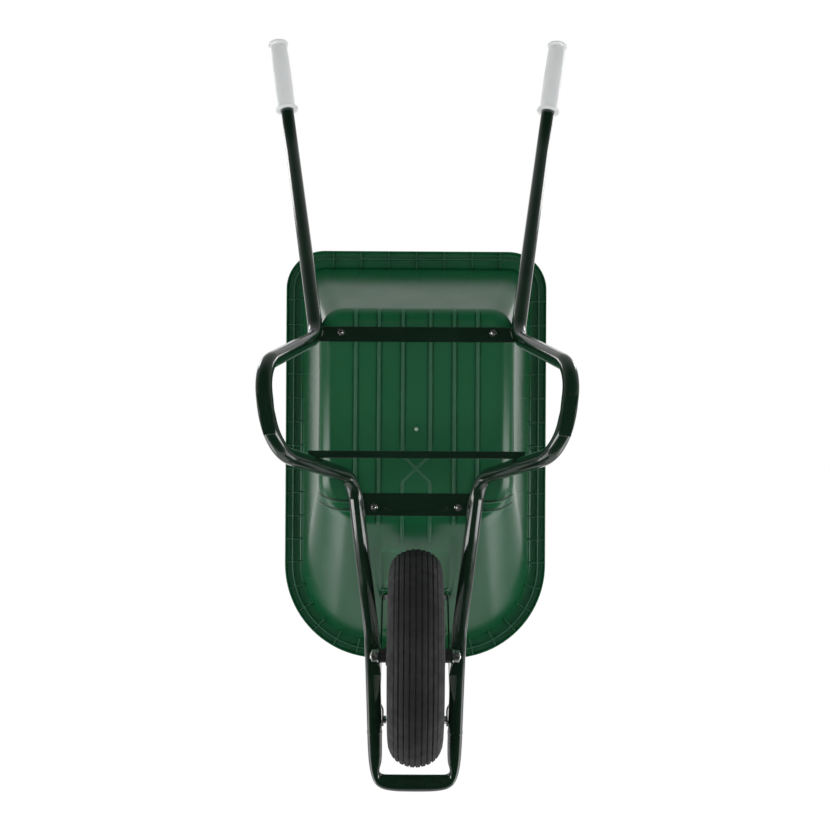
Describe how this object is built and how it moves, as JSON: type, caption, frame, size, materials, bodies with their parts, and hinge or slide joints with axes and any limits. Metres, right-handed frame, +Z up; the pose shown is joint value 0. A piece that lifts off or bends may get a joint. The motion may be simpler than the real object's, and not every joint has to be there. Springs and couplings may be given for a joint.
{
  "type": "wheelbarrow",
  "caption": "Builder's wheelbarrow: bent tube frame with legs and grips, deep plastic tray on cross members and a strip stay, pneumatic wheel turning freely on its axle.",
  "frame": {"origin": "on the ground, below the middle of the whole barrow", "axes": "+Z up, +Y towards the handles along the barrow's length, +X to the user's left"},
  "size_m": [0.6494, 1.5138, 0.6297],
  "materials": {
    "frame_paint": "gloss dark green paint on steel tube",
    "zinc": "bright zinc plate",
    "tray_plastic": "satin moulded polypropylene",
    "grip_plastic": "soft white plastic, slightly translucent",
    "black_paint": "satin black",
    "tyre": "ribbed black rubber",
    "rubber": "smooth butyl rubber",
    "rim_paint": "white-grey stoved enamel",
    "black_plastic": "satin nylon"
  },
  "bodies": {
    "frame": {"left_frame_tube": "frame_paint", "right_frame_tube": "frame_paint", "nose_loop": "frame_paint", "rear_cross_member": "frame_paint", "front_cross_member": "frame_paint", "leg_brace": "frame_paint", "left_foot_plate": "frame_paint", "right_foot_plate": "frame_paint", "left_axle_bracket": "frame_paint", "right_axle_bracket": "frame_paint", "front_stay": "frame_paint", "stay_studs": "zinc", "stay_stud_nuts": "zinc", "stay_bolts": "zinc", "stay_nuts": "zinc", "tray": "tray_plastic", "tray_bolts": "zinc", "tray_washers": "zinc", "tray_nuts": "zinc", "axle": "zinc", "axle_spacers": "black_paint", "axle_washers": "zinc", "axle_nuts": "zinc", "left_grip": "grip_plastic", "right_grip": "grip_plastic"},
    "wheel": {"tyre": "tyre", "inner_tube": "rubber", "left_rim_half": "rim_paint", "right_rim_half": "rim_paint", "rim_bolts": "zinc", "rim_nuts": "zinc", "hub_tube": "rim_paint", "left_bush": "black_plastic", "right_bush": "black_plastic", "valve_stem": "rubber", "valve_cap": "black_plastic"}
  },
  "joints": [
    {"name": "wheel_spin", "type": "hinge", "parent": "frame", "child": "wheel", "pos_m": [0, -0.48601, 0.19], "axis": [1, 0, 0], "continuous": true}
  ]
}
